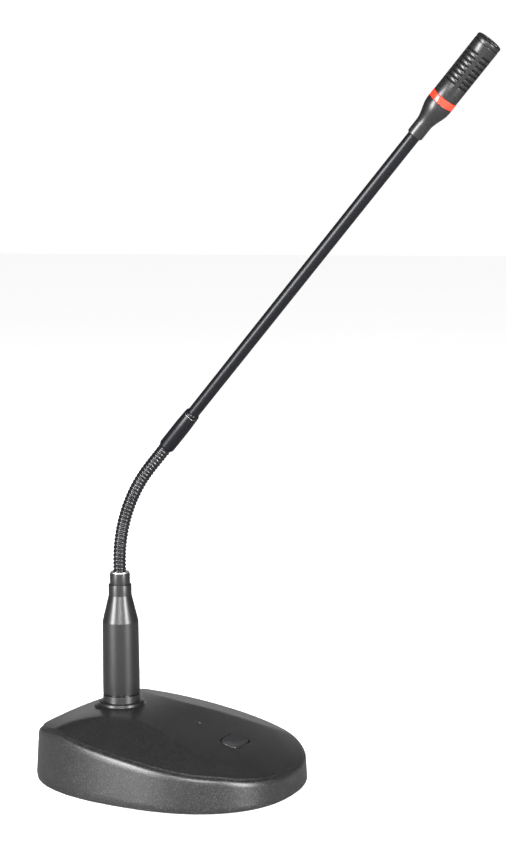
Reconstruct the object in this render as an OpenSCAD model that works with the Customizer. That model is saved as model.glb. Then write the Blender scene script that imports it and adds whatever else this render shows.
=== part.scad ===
// Desktop gooseneck microphone. Z is up, the talker sits on the -Y side.
// The origin is on the table, under the middle of the base.

/* [Base] */
// Width of the base over its side walls
base_w = 121; // [96:1:150]
// Length of the base from the talker's end to the rear
base_l = 154.6; // [126:0.2:190]
// Distance from the middle of the base back to its widest place, toward the talker
widest_y = 4; // [0:0.5:10]
// Squareness of the talker's end, 2 is an ellipse
front_power = 2.32; // [2:0.02:4]
// Squareness of the rear end, 2 is an ellipse
rear_power = 2.4; // [2:0.02:4]
// Height of the ridge of the top at the widest place
top_z = 35; // [28:0.5:44]
// Rise of the ridge toward the rear, per millimetre
top_slope = 0.24; // [0.1:0.01:0.3]
// How fast the ridge falls away again behind the widest place
rear_fall = 0.004; // [0.002:0.0005:0.006]
// Drop of the top from the ridge to the rim
crown_drop = 3.6; // [1:0.2:6]
// How late that drop comes, higher is flatter in the middle
crown_power = 4.3; // [2:0.1:6]
// Rim height of the side flats at the widest place
flat_z = 27; // [22:0.5:34]
// Rise of the side flats toward the rear, per millimetre
flat_slope = 0.148; // [0.05:0.01:0.2]
// Rise of the side flats toward the middle, per millimetre
flat_rise = 0.26; // [0.15:0.01:0.4]
// Hollow of the side flats along their length
flat_hollow = 0.0011; // [0:0.0001:0.002]
// Draft of the side walls in degrees
draft = 3.7; // [1:0.1:6]
// Radius of the edge between top and walls
edge_r = 2.4; // [1:0.1:4]
// Wall thickness of the shell
shell_wall = 2.4; // [1.6:0.1:3.2]
// Gap between the table and the shell's lower edge
edge_gap = 1; // [0.5:0.1:2]
// Thickness of the steel floor plate
plate_t = 1.5; // [1:0.1:2.5]
// Depth of the floor plate's face inside the shell's lower edge
plate_recess = 1; // [0.5:0.1:2]
// Clearance between the floor plate and the shell
plate_gap = 0.4; // [0.2:0.05:0.8]
// Margin between the rubber pad's edge and the floor plate's edge
pad_margin = 1.5; // [1:0.1:3]
// Sideways distance of the case screws from the middle
screw_x = 46; // [40:1:48]
// Front case screws, distance in front of the middle
screw_front_y = 22; // [10:1:30]
// Rear case screws, distance behind the middle
screw_rear_y = 26; // [16:1:34]
// Thickness of the ballast slab
ballast_t = 6.3; // [4:0.1:10]
// Width of the ballast slab
ballast_w = 72; // [50:1:76]
// Length of the ballast slab
ballast_l = 50; // [36:1:52]
// Distance from the ballast slab back to the output jack
ballast_gap = 3.3; // [1:0.1:6]

/* [Talk button] */
// Width of the button cap
button_w = 18; // [12:0.5:24]
// Front to back size of the button cap
button_l = 11; // [8:0.5:16]
// Corner radius of the button cap
button_r = 4; // [2:0.5:5]
// Distance of the button in front of the middle of the base
button_y = 40.5; // [32:0.5:46]
// Clearance round the button cap
button_gap = 0.4; // [0.3:0.05:0.8]
// Travel of the button
button_travel = 1.5; // [0.8:0.1:2]
// Distance of the status lens in front of the middle of the base
lens_y = 16; // [8:0.5:24]
// Sideways place of the status lens
lens_x = 4; // [0:0.5:8]
// Diameter of the status lens
lens_d = 2.2; // [2:0.1:3]

/* [Socket and plug] */
// Distance of the neck's socket behind the middle of the base
socket_y = 32; // [26:0.5:38]
// Outer diameter of the socket collar and of the plug sleeve
plug_d = 21; // [19:0.2:24]
// Height of the socket collar above the flange that it stands on
collar_h = 3.8; // [2:0.1:6]
// Diameter of the collar's flange
flange_d = 25.6; // [24:0.2:30]
// Thickness of the collar's flange
flange_t = 2.3; // [1:0.1:3]
// Seam between the collar and the plug sleeve
seam = 0.4; // [0.3:0.05:0.8]
// Depth that the plug goes into the socket
plug_depth = 13; // [10:0.5:16]
// Radial running clearance of the plug in the socket
plug_fit = 0.08; // [0.03:0.01:0.1]
// Outer diameter of the plug's barrel
barrel_d = 16.6; // [15:0.1:17]
// Wall of the plug's barrel
barrel_wall = 1.1; // [0.8:0.05:1.6]
// Diameter of each contact pin
pin_d = 2.4; // [2:0.1:2.6]
// Radius of the circle that the pins stand on
pin_circle_r = 3.8; // [3.4:0.1:4.2]
// Length of the straight part of the plug sleeve
sleeve_l = 41.6; // [34:0.1:54]
// Diameter of the sleeve at the top of its straight part
sleeve_top_d = 20.4; // [18:0.1:21]
// Length of the sleeve's cone
cone_l = 15; // [10:0.5:20]
// Diameter of the sleeve above its cone
sleeve_neck_d = 13; // [12:0.1:15]
// Length of the sleeve above its cone
sleeve_neck_l = 6.3; // [4:0.1:9]
// Diameter of the bush at the top of the sleeve
bush_d = 11.4; // [10.4:0.1:12]
// Length of the bush that shows
bush_l = 6.3; // [4:0.1:9]
// Height of the bright ferrule on the bush
ferrule_h = 0.9; // [0.6:0.1:2]

/* [Flexible neck] */
// Diameter of the flexible neck
neck_d = 7.4; // [6:0.1:8.6]
// Bore of the flexible neck
neck_bore = 3; // [2:0.1:4]
// Radius that the neck bends to at rest
bend_r = 84.5; // [70:0.5:140]
// Lean of the arm from upright, at rest
lean = 41.3; // [20:0.1:60]
// Straight length of neck below the bend
lead_l = 5.2; // [4:0.1:12]
// Clearance between neighbouring neck sections
link_gap = 0.35; // [0.3:0.05:0.5]

/* [Arm] */
// Outer diameter of the coupling
coupling_d = 9; // [8.8:0.1:11]
// Diameter of the coupling at the tube's end
coupling_top_d = 8.4; // [8:0.1:8.8]
// Length of the coupling
coupling_l = 26.5; // [22:0.5:36]
// Distance from the end of the bend to the coupling
coupling_gap = 15; // [8:0.5:22]
// Outer diameter of the arm tube
tube_d = 6.8; // [5.6:0.1:8]
// Wall of the arm tube
tube_wall = 0.8; // [0.5:0.05:1.2]
// Length of the arm tube that shows
tube_l = 194.8; // [150:0.1:250]

/* [Head] */
// Diameter of the head
head_d = 14; // [12.6:0.1:17]
// Diameter of the head's ferrule
head_ferrule_d = 8.6; // [8.2:0.1:10]
// Length of the head's ferrule
head_ferrule_l = 7; // [5:0.1:9]
// Length of the flare behind the ring
flare_l = 14.5; // [10:0.1:18]
// Length of the light ring
ring_l = 3.5; // [2.5:0.1:5]
// Length from the light ring to the end cap
body_l = 32.7; // [30:0.1:38]
// Length of the end cap
cap_l = 2.5; // [2:0.1:5]
// Wall of the head body
head_wall = 1; // [0.8:0.05:1.3]
// Number of slots in each row
slot_count = 8; // [5:1:10]
// Distance from one slot to the next
slot_pitch = 2.59; // [2.2:0.01:2.7]
// Width of each slot
slot_w = 1.1; // [0.8:0.05:1.4]
// Angle that each row of slots reaches round the head
slot_angle = 68; // [40:1:75]
// Turn of the rows of slots about the head's axis
slot_turn = -17; // [-45:1:45]
// Distance from the last slot to the end cap
slot_margin = 4.95; // [3:0.05:7]

/* [Output] */
// Bore of the output jack
jack_bore = 6.4; // [6.35:0.05:6.6]
// Height of the output jack above the table
jack_z = 15.5; // [14:0.5:16]

/* [Hidden] */

$fn = 64;
eps = 0.01;

// Points round the base and across its top
base_steps = 96;
top_steps = 7;

// The base's outline is a superellipse with its own length and power at each end
half_w = base_w / 2;
front_l = base_l / 2 - widest_y;
rear_l = base_l / 2 + widest_y;

function outline_r(a) =
    let (s = abs(sin(a)), c = -cos(a), l = c < 0 ? front_l : rear_l, n = c < 0 ? front_power : rear_power)
    pow(pow(s / half_w, n) + pow(abs(c) / l, n), -1 / n);

// Height of the top over a place, with x and v measured from the widest place
function crown_z(x, v) =
    let (r = norm([x, v]), share = r < eps ? 0 : r / outline_r(atan2(x, -v)))
    top_z + top_slope * v - rear_fall * pow(max(v, 0), 2) - crown_drop * pow(share, crown_power);
flat_inset = 3.5;
function flat_at(x, v) =
    flat_z + flat_slope * v - flat_hollow * v * v + flat_rise * (half_w - flat_inset - abs(x));
function top_at(x, v) = min(crown_z(x, v), flat_at(x, v));
// The same height, with y measured from the middle of the base
function top_y(x, y) = top_at(x, y + widest_y);

// Outline radius of the wall's outer face at a height
function wall_r(a, z) = outline_r(a) - z * tan(draft);
function rim_z(a) =
    let (r = wall_r(a, flat_z)) top_at(r * sin(a), -r * cos(a));
function ring_at(inset, z_drop) =
    [for (i = [0:base_steps - 1])
        let (a = i * 360 / base_steps, rim = rim_z(a), r = wall_r(a, rim) - inset,
             x = r * sin(a), v = -r * cos(a))
        [x, v - widest_y, (inset < edge_r ? rim : top_at(x, v)) - z_drop]];
function top_ring(share, inset, z_drop) =
    [for (i = [0:base_steps - 1])
        let (a = i * 360 / base_steps, r = (wall_r(a, rim_z(a)) - inset) * share,
             x = r * sin(a), v = -r * cos(a))
        [x, v - widest_y, top_at(x, v) - z_drop]];
function level_ring(z, inset) =
    [for (i = [0:base_steps - 1])
        let (a = i * 360 / base_steps, r = wall_r(a, z) - inset)
        [r * sin(a), -r * cos(a) - widest_y, z]];

edge_turns = [0, 22.5, 45, 67.5];
outer_rings = concat(
    [level_ring(edge_gap, edge_gap / 2), level_ring(edge_gap + 0.6, 0)],
    [for (t = edge_turns) ring_at(edge_r * (1 - cos(t)), edge_r * (1 - sin(t)))],
    [for (k = [0:top_steps - 1]) top_ring(1 - k / top_steps, edge_r, 0)]);
inner_rings = concat(
    [for (k = [top_steps - 1:-1:0]) top_ring(1 - k / top_steps, edge_r + shell_wall, shell_wall)],
    [ring_at(shell_wall, edge_r + shell_wall), level_ring(edge_gap, shell_wall)]);

plate_z = edge_gap + plate_recess;
plate_top = plate_z + plate_t;

// Talk button stack, from the cap down to the board
button_top_z = top_y(0, -button_y) + 0.3;
cap_h = 6;
cap_skirt = 1.2;
cap_roof = 2.6;
plunger_d = 3.2;
plunger_h = 3.4;
switch_size = 8.5;
switch_h = 5.5;
board_t = 1.6;
board_z = button_top_z - cap_h - button_travel - 0.4 - switch_h - board_t;
board_w = 44;
board_l = button_y - lens_y + 20;
board_mid_y = -(button_y + lens_y) / 2 - 3;
post_x = board_w / 2 - 4;
post_front_y = board_l / 2 - 5 - board_mid_y;
post_rear_y = board_l / 2 - 4 + board_mid_y;
post_d = 6;
small_screw_d = 2.4;
lens_l = 4.2;
led_leg_d = 0.5;
screw_d = 3;
thread_gap = 0.05;

// Socket heights, from the flange that stands on the top
// The flange stands on the highest place of the top beneath it
flange_z = max([for (k = [-4:4]) top_y(0, socket_y + k * flange_d / 8)]);
collar_top = flange_z + flange_t + collar_h;
socket_bore = barrel_d + 2 * plug_fit;
socket_floor = collar_top - plug_depth - 1.5;
thread_d = 20;
socket_bottom = socket_floor - 3;
insert_d = barrel_d - 2 * barrel_wall - 0.6;
contact_wall = 0.45;
contact_gap = 0.08;
nut_t = 3;
nut_d = 25;
boss_bottom = flange_z - 6.5;

// Plug heights
sleeve_z = collar_top + seam;
cone_z = sleeve_z + sleeve_l;
sleeve_neck_z = cone_z + cone_l;
bush_z = sleeve_neck_z + sleeve_neck_l;
ferrule_z = bush_z + bush_l;
neck_z = ferrule_z + ferrule_h;
sleeve_wall = 1.6;
pin_bottom = socket_floor + 1.2;

// The neck's centre line: straight, then an arc of bend_r through the lean
bend_z = neck_z + lead_l;
bend_len = bend_r * lean * PI / 180;
ball_r = neck_d / 2 * 1.16;
link_count = 8;
// The joints stand on the arc, first and last at its ends, and the sections run straight between them
link_step = bend_len / (link_count - 1);
chord = 2 * bend_r * sin(lean / (link_count - 1) / 2);
neck_clear = 0.05;

// The output jack in the rear wall
jack_y = base_l / 2 - jack_z * tan(draft);
jack_thread_d = 9;
jack_face_d = 16;
jack_pad = 3.4;
jack_l = 21;
jack_body_w = 12;
jack_face_y = jack_y - 1.6;
ballast_y = jack_face_y - jack_pad - jack_l - ballast_gap - ballast_l / 2;

// Head places along the arm's own axis, which starts where the bend ends
coupling_s = coupling_gap;
coupling_end = coupling_s + coupling_l;
head_s = coupling_end + tube_l;
flare_s = head_s + head_ferrule_l;
ring_s = flare_s + flare_l;
body_s = ring_s + ring_l;
cap_s = body_s + body_l;
head_end = cap_s + cap_l;
body_d = head_d - 0.2;
body_bore = body_d - 2 * head_wall;
spigot_d = 8.4;
spigot_wall = 0.9;
spigot_l = 5;
ring_board_t = 1;
led_size = 1.6;
capsule_d = 9.7;
capsule_h = 6.5;
capsule_s = cap_s - capsule_h - 3;
screen_wall = 0.6;
slots_s = cap_s - slot_margin - slot_w - (slot_count - 1) * slot_pitch;

// ---- Shared shapes ----

// A closed skin through rings of equal point counts, capped at both ends by a centre point
module skin(rings, first_tip, last_tip) {
    n = len(rings[0]);
    m = len(rings);
    points = concat([first_tip], [for (r = rings) for (p = r) p], [last_tip]);
    last = m * n + 1;
    faces = concat(
        [for (i = [0:n - 1]) [0, 1 + (i + 1) % n, 1 + i]],
        [for (k = [0:m - 2]) for (i = [0:n - 1])
            [1 + k * n + i, 1 + k * n + (i + 1) % n, 1 + (k + 1) * n + i]],
        [for (k = [0:m - 2]) for (i = [0:n - 1])
            [1 + k * n + (i + 1) % n, 1 + (k + 1) * n + (i + 1) % n, 1 + (k + 1) * n + i]],
        [for (i = [0:n - 1]) [last, 1 + (m - 1) * n + i, 1 + (m - 1) * n + (i + 1) % n]]);
    polyhedron(points, faces, convexity = 6);
}

module tube(outer, inner, h) {
    difference() {
        cylinder(d = outer, h = h);
        translate([0, 0, -1]) cylinder(d = inner, h = h + 2);
    }
}

// A rounded rectangle of exact arcs, centred
module rounded_plate(w, l, r, h) {
    linear_extrude(h) {
        square([w - 2 * r, l], center = true);
        square([w, l - 2 * r], center = true);
        for (x = [-1, 1], y = [-1, 1])
            translate([x * (w / 2 - r), y * (l / 2 - r)]) circle(r);
    }
}

module screw(d, head, length) {
    difference() {
        union() {
            cylinder(d = d, h = length);
            cylinder(d1 = head, d2 = d, h = (head - d) / 2);
        }
        for (turn = [0, 90])
            rotate(turn) translate([-head * 0.35, -head * 0.06, -eps]) cube([head * 0.7, head * 0.12, d * 0.25]);
    }
}

module at_corners(x, front, rear) {
    for (side = [-1, 1]) {
        translate([side * x, -front, 0]) children();
        translate([side * x, rear, 0]) children();
    }
}

module at_board_posts() {
    at_corners(post_x, post_front_y, post_rear_y) children();
}

// Moves its children to a place along the neck, s millimetres up from the ferrule
module along_neck(s) {
    if (s <= lead_l)
        translate([0, socket_y, neck_z + s]) children();
    else {
        a = min((s - lead_l) / bend_r * 180 / PI, lean);
        translate([0, socket_y - bend_r * (1 - cos(a)), bend_z + bend_r * sin(a)])
            rotate([a, 0, 0]) translate([0, 0, max(0, s - lead_l - bend_len)]) children();
    }
}

module on_arm(s) {
    along_neck(lead_l + bend_len) translate([0, 0, s]) children();
}

// One stiff section of neck along +Z from its lower joint: a cup round the joint below,
// a ball about the joint above, and a bore for the lead
module neck_section(from, to, has_cup, has_ball) {
    difference() {
        intersection() {
            translate([0, 0, from]) cylinder(d = neck_d, h = to + (has_ball ? ball_r : 0) - from);
            if (has_ball)
                union() {
                    translate([0, 0, to]) sphere(ball_r);
                    translate([0, 0, from - 1]) cylinder(d = 2 * ball_r, h = to - from + 1);
                }
            else
                translate([0, 0, from - 1]) cylinder(d = 2 * ball_r, h = to - from + 2);
        }
        if (has_cup) sphere(ball_r + link_gap);
        translate([0, 0, from - 1]) cylinder(d = neck_bore, h = to - from + 3 * ball_r);
    }
}

// Places a section on the chord from joint k to joint k + 1
module on_chord(k) {
    along_neck(lead_l + (k - 1) * link_step)
        rotate([lean / (link_count - 1) / 2, 0, 0]) children();
}

module neck_link(k) {
    color("dimgray")
        on_chord(k) neck_section(ball_r * 0.4, chord, true, true);
}

// ---- Base ----

module base_shell() {
    color([0.22, 0.22, 0.23])
    difference() {
        union() {
            shell_skin();
            translate([0, socket_y, boss_bottom]) cylinder(d = flange_d, h = flange_z - boss_bottom);
            case_posts();
            board_posts();
            jack_pad_block();
        }
        translate([0, socket_y, boss_bottom - 1]) cylinder(d = thread_d + 0.2, h = 20);
        button_opening();
        translate([lens_x, -lens_y, board_z]) cylinder(d = lens_d + 0.1, h = top_z);
        at_corners(screw_x, screw_front_y, screw_rear_y)
            translate([0, 0, plate_top - eps]) cylinder(d = screw_d + 2 * thread_gap, h = 9);
        at_board_posts()
            translate([0, 0, board_z + board_t - eps]) cylinder(d = small_screw_d + 2 * thread_gap, h = 3.4);
        translate([0, jack_face_y, jack_z]) rotate([-90, 0, 0]) cylinder(d = jack_face_d, h = 20);
        translate([0, jack_face_y - 20, jack_z]) rotate([-90, 0, 0])
            cylinder(d = jack_thread_d + 0.2, h = 40);
    }
}

module shell_skin() {
    rings = concat([for (k = [0:top_steps - 1]) outer_rings[len(outer_rings) - 1 - k]],
                   [for (k = [len(outer_rings) - top_steps - 1:-1:0]) outer_rings[k]],
                   [for (k = [len(inner_rings) - 1:-1:0]) inner_rings[k]]);
    skin(rings, [0, -widest_y, top_at(0, 0)], [0, -widest_y, top_at(0, 0) - shell_wall]);
}

module button_opening() {
    translate([0, -button_y, board_z + board_t])
        rounded_plate(button_w + 2 * button_gap, button_l + 2 * button_gap, button_r + button_gap, 40);
}

module case_posts() {
    for (side = [-1, 1], y = [-screw_front_y, screw_rear_y])
        translate([side * screw_x, y, plate_top])
            cylinder(d = post_d + 1, h = top_y(screw_x + 3, y) - shell_wall / 2 - plate_top - 0.6);
}

module board_posts() {
    for (side = [-1, 1], y = [-post_front_y, post_rear_y])
        translate([side * post_x, y, board_z + board_t])
            cylinder(d = post_d, h = top_y(post_x, y - post_d / 2) - shell_wall / 2 - board_z - board_t);
}

module jack_pad_block() {
    translate([0, jack_face_y - jack_pad, jack_z]) rotate([-90, 0, 0])
        cylinder(d = jack_face_d + 2, h = jack_pad);
}

module bottom_plate() {
    inset = shell_wall + plate_gap;
    color("gray")
    difference() {
        translate([0, 0, plate_z]) linear_extrude(plate_t)
            polygon([for (p = level_ring(plate_top, inset)) [p[0], p[1]]]);
        at_corners(screw_x, screw_front_y, screw_rear_y)
            translate([0, 0, plate_z]) {
                translate([0, 0, -eps]) cylinder(d1 = screw_d * 2 + 0.2, d2 = screw_d + 0.2, h = screw_d / 2 + eps);
                cylinder(d = screw_d + 0.2, h = 5);
            }
    }
}

module ballast() {
    color("darkgray")
    translate([0, ballast_y, plate_top])
        rounded_plate(ballast_w, ballast_l, 5, ballast_t);
}

module rubber_pad() {
    color("black")
    difference() {
        linear_extrude(plate_z)
            polygon([for (p = level_ring(plate_top, shell_wall + plate_gap + pad_margin)) [p[0], p[1]]]);
        at_corners(screw_x, screw_front_y, screw_rear_y)
            translate([0, 0, -1]) cylinder(d = screw_d * 2 + 1, h = plate_z + 2);
    }
}

module case_screws() {
    color("silver")
    at_corners(screw_x, screw_front_y, screw_rear_y) translate([0, 0, plate_z]) screw(screw_d, 2 * screw_d, 9);
}

// ---- Board, button and indicator ----

module circuit_board() {
    color("darkgreen")
    difference() {
        translate([0, board_mid_y, board_z]) rounded_plate(board_w, board_l, 2, board_t);
        at_board_posts() translate([0, 0, board_z - 1]) cylinder(d = small_screw_d + 0.2, h = board_t + 2);
        translate([lens_x, -lens_y, board_z - 1]) at_led_legs() cylinder(d = led_leg_d, h = board_t + 2);
    }
}

module board_screws() {
    head_h = 1.2;
    color("silver")
    at_board_posts() translate([0, 0, board_z - head_h])
        difference() {
            union() {
                cylinder(d = small_screw_d, h = head_h + board_t + 3);
                cylinder(d = small_screw_d * 1.9, h = head_h);
            }
            for (turn = [0, 90])
                rotate(turn) translate([-1.6, -0.25, -eps]) cube([3.2, 0.5, 0.7]);
        }
}

module button_switch() {
    color("dimgray")
    translate([0, -button_y, board_z + board_t])
        difference() {
            translate([-switch_size / 2, -switch_size / 2, 0]) cube([switch_size, switch_size, switch_h]);
            translate([0, 0, 1]) cylinder(d = plunger_d + 0.16, h = switch_h);
        }
}

plunger_bottom = board_z + board_t + 1 + button_travel + 0.3;

module button_plunger() {
    color("white")
    translate([0, -button_y, plunger_bottom])
        cylinder(d = plunger_d, h = button_top_z - cap_roof - plunger_bottom);
}

module talk_button() {
    dish_r = 45;
    dish_depth = 0.7;
    color([0.12, 0.12, 0.12])
    translate([0, -button_y, button_top_z - cap_h]) {
        difference() {
            rounded_plate(button_w, button_l, button_r, cap_h + button_l * top_slope);
            translate([0, 0, -1])
                rounded_plate(button_w - 2 * cap_skirt, button_l - 2 * cap_skirt, button_r - cap_skirt,
                              cap_h - cap_roof + 1);
            translate([0, 0, cap_h]) rotate([atan(top_slope), 0, 0]) {
                translate([-button_w, -button_w, 0]) cube(2 * button_w);
                translate([0, 0, dish_r - dish_depth]) sphere(dish_r);
            }
        }
        tube(plunger_d + 2, plunger_d, cap_h - cap_roof + eps);
    }
}

module status_lens() {
    lens_top = top_y(lens_x, -lens_y);
    color("white")
    translate([lens_x, -lens_y, lens_top - lens_l]) {
        cylinder(d = lens_d, h = lens_l);
        cylinder(d = lens_d + 1.6, h = 1);
    }
}

module status_led() {
    led_base = top_y(lens_x, -lens_y) - lens_l - 5.3;
    color("red")
    translate([lens_x, -lens_y, 0]) {
        translate([0, 0, led_base]) cylinder(d = 3, h = 5);
        translate([0, 0, led_base]) cylinder(d = 3.8, h = 0.8);
        at_led_legs() translate([0, 0, board_z - 1]) cylinder(d = led_leg_d, h = led_base - board_z + 1.2);
    }
}

module at_led_legs() {
    for (side = [-1, 1]) translate([side * 0.8, 0, 0]) children();
}

// ---- Socket ----

module socket_collar() {
    color([0.2, 0.2, 0.21])
    translate([0, socket_y, 0])
    difference() {
        union() {
            translate([0, 0, socket_bottom]) cylinder(d = thread_d, h = collar_top - socket_bottom);
            translate([0, 0, flange_z]) cylinder(d = flange_d, h = flange_t);
            translate([0, 0, flange_z]) cylinder(d = plug_d, h = collar_top - flange_z);
        }
        translate([0, 0, socket_floor]) cylinder(d = socket_bore, h = 40);
        translate([0, 0, socket_bottom - 1]) cylinder(d = socket_bore - 2, h = 40);
    }
}

module socket_insert() {
    color("black")
    translate([0, socket_y, 0])
    difference() {
        union() {
            translate([0, 0, socket_bottom]) cylinder(d = socket_bore - 2, h = socket_floor - socket_bottom);
            translate([0, 0, socket_bottom]) cylinder(d = insert_d, h = collar_top - 1 - socket_bottom);
        }
        at_pins() translate([0, 0, socket_bottom - 1])
            cylinder(d = pin_d + 2 * (contact_gap + contact_wall), h = 40);
    }
}

module at_pins() {
    for (turn = [90, 210, 330]) rotate(turn) translate([pin_circle_r, 0, 0]) children();
}

module socket_contacts() {
    color("gold")
    translate([0, socket_y, 0])
    at_pins() translate([0, 0, socket_bottom - 3])
        difference() {
            cylinder(d = pin_d + 2 * (contact_gap + contact_wall), h = collar_top - 2 - socket_bottom + 3);
            translate([0, 0, 4]) cylinder(d = pin_d + 2 * contact_gap, h = 40);
        }
}

module socket_nut() {
    color("silver")
    translate([0, socket_y, boss_bottom - nut_t])
        difference() {
            cylinder(d = nut_d, h = nut_t);
            translate([0, 0, -1]) cylinder(d = thread_d, h = nut_t + 2);
            for (turn = [0:60:300])
                rotate(turn) translate([nut_d / 2, 0, -1]) cylinder(d = 2.4, h = nut_t + 2);
        }
}

// ---- Output jack ----

module output_jack() {
    color("black")
    translate([0, jack_face_y, jack_z]) rotate([-90, 0, 0])
    difference() {
        union() {
            translate([0, 0, -jack_pad - 6]) cylinder(d = jack_thread_d, h = jack_pad + 9);
            translate([-jack_body_w / 2, -jack_body_w / 2 + 1.5, -jack_pad - jack_l])
                cube([jack_body_w, jack_body_w - 1.5, jack_l]);
        }
        translate([0, 0, -jack_pad - jack_l + 1]) cylinder(d = jack_bore, h = 60);
    }
}

module jack_nut() {
    color("silver")
    translate([0, jack_face_y, jack_z]) rotate([-90, 0, 0])
    difference() {
        cylinder(d = 12.6, h = 2, $fn = 6);
        translate([0, 0, -1]) cylinder(d = jack_thread_d, h = 4);
    }
}

// ---- Plug ----

module plug_barrel() {
    color("silver")
    translate([0, socket_y, 0])
    difference() {
        translate([0, 0, collar_top - plug_depth]) cylinder(d = barrel_d, h = plug_depth + 12);
        translate([0, 0, 0]) cylinder(d = barrel_d - 2 * barrel_wall, h = collar_top + 40);
    }
}

module plug_insert() {
    color("black")
    translate([0, socket_y, collar_top + 0.5])
    difference() {
        cylinder(d = barrel_d - 2 * barrel_wall, h = 7);
        at_pins() translate([0, 0, -1]) cylinder(d = pin_d, h = 20);
    }
}

module plug_pins() {
    color("gold")
    translate([0, socket_y, 0])
    at_pins() {
        translate([0, 0, pin_bottom + 1]) cylinder(d = pin_d, h = collar_top + 10 - pin_bottom - 1);
        translate([0, 0, pin_bottom]) cylinder(d1 = pin_d - 1, d2 = pin_d, h = 1);
    }
}

module plug_sleeve() {
    color([0.2, 0.2, 0.21])
    translate([0, socket_y, 0])
    difference() {
        rotate_extrude()
            polygon([[0, sleeve_z], [plug_d / 2 - 0.3, sleeve_z], [plug_d / 2, sleeve_z + 0.3],
                     [sleeve_top_d / 2, cone_z], [sleeve_neck_d / 2, sleeve_neck_z],
                     [sleeve_neck_d / 2, bush_z - 0.3], [sleeve_neck_d / 2 - 0.3, bush_z], [0, bush_z]]);
        translate([0, 0, sleeve_z - 1]) cylinder(d = barrel_d, h = collar_top + 13 - sleeve_z);
        translate([0, 0, sleeve_z]) cylinder(d = barrel_d - 1, h = sleeve_l - 2);
        translate([0, 0, cone_z - 2 - eps])
            cylinder(d1 = barrel_d - 1, d2 = bush_d - 2, h = cone_l - 3);
        translate([0, 0, cone_z]) cylinder(d = bush_d - 2, h = 60);
    }
}

module sleeve_bush() {
    color([0.16, 0.16, 0.17])
    translate([0, socket_y, 0])
    difference() {
        union() {
            translate([0, 0, bush_z]) cylinder(d = bush_d, h = bush_l);
            translate([0, 0, sleeve_neck_z - 2]) cylinder(d = bush_d - 2, h = bush_z - sleeve_neck_z + 3);
        }
        translate([0, 0, sleeve_neck_z - 3]) cylinder(d = neck_d + 2 * neck_clear, h = 60);
    }
}

module neck_ferrule() {
    color("gainsboro")
    translate([0, socket_y, ferrule_z]) tube(bush_d - 0.6, neck_d + 2 * neck_clear, ferrule_h);
}

// ---- Flexible neck ----

module neck_root() {
    color("dimgray")
        along_neck(0) neck_section(-bush_l - ferrule_h - 3, lead_l, false, true);
}

module neck_link_1() { neck_link(1); }
module neck_link_2() { neck_link(2); }
module neck_link_3() { neck_link(3); }
module neck_link_4() { neck_link(4); }
module neck_link_5() { neck_link(5); }
module neck_link_6() { neck_link(6); }
module neck_link_7() { neck_link(7); }

module neck_tip() {
    color("dimgray")
        on_arm(0) neck_section(ball_r * 0.4, coupling_gap + 12, true, false);
}

// ---- Arm ----

module tube_coupling() {
    bevel = 0.8;
    color([0.07, 0.07, 0.08])
    on_arm(coupling_s)
    difference() {
        rotate_extrude()
            polygon([[0, 0], [coupling_d / 2 - bevel, 0], [coupling_d / 2, bevel],
                     [coupling_d / 2, coupling_l * 0.6], [coupling_top_d / 2, coupling_l - bevel],
                     [coupling_top_d / 2 - bevel / 2, coupling_l], [0, coupling_l]]);
        translate([0, 0, -1]) cylinder(d = neck_d + 2 * neck_clear, h = 14);
        translate([0, 0, 14]) cylinder(d = tube_d, h = coupling_l);
        translate([0, 0, 5]) cylinder(d = tube_d - 2 * tube_wall, h = coupling_l);
    }
}

module arm_tube() {
    color([0.07, 0.07, 0.08])
    on_arm(coupling_s + 14)
        tube(tube_d, tube_d - 2 * tube_wall, head_s + 5 - coupling_s - 14);
}

module signal_lead() {
    color("dimgray")
    on_arm(coupling_s + 6) cylinder(d = neck_bore - 2 * neck_clear, h = capsule_s - coupling_s - 6);
}

// ---- Head ----

module head_flare() {
    color([0.22, 0.22, 0.23])
    on_arm(head_s)
    difference() {
        rotate_extrude()
            polygon(concat([[0, 0], [head_ferrule_d / 2 - 0.5, 0], [head_ferrule_d / 2, 0.5]],
                [for (t = [0:0.1:1])
                    [head_ferrule_d / 2 + (head_d - head_ferrule_d) / 2 * (1 - cos(180 * t)) / 2,
                     head_ferrule_l + flare_l * 0.92 * t]],
                [[head_d / 2, head_ferrule_l + flare_l], [0, head_ferrule_l + flare_l]]));
        translate([0, 0, -1]) cylinder(d = tube_d, h = 6);
        cylinder(d = tube_d - 2 * tube_wall, h = 30);
        translate([0, 0, ring_s - head_s - spigot_l]) cylinder(d = spigot_d, h = 20);
        translate([0, 0, ring_s - head_s - ring_board_t]) cylinder(d = head_d - 2, h = 20);
    }
}

module ring_board() {
    color("darkgreen")
    on_arm(ring_s - ring_board_t) tube(head_d - 2.2, spigot_d + 0.2, ring_board_t);
}

module at_leds() {
    for (turn = [45:90:315]) rotate(turn) translate([(head_d + spigot_d) / 4 - 0.1, 0, 0]) children();
}

module ring_leds() {
    color("orangered")
    on_arm(ring_s)
        at_leds() translate([-led_size / 2, -led_size / 2, 0]) cube([led_size, led_size, 0.9]);
}

module light_ring() {
    pocket = led_size + 0.2;
    color("red")
    on_arm(ring_s)
    difference() {
        tube(head_d, spigot_d + 0.2, ring_l);
        at_leds() translate([-pocket / 2, -pocket / 2, -1]) cube([pocket, pocket, 2]);
    }
}

module slot_wedge(outer, turn) {
    rotate(slot_turn + turn - slot_angle / 2)
        rotate_extrude(angle = slot_angle) translate([body_bore / 2 - 0.6, 0]) square([outer, slot_w]);
}

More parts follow.
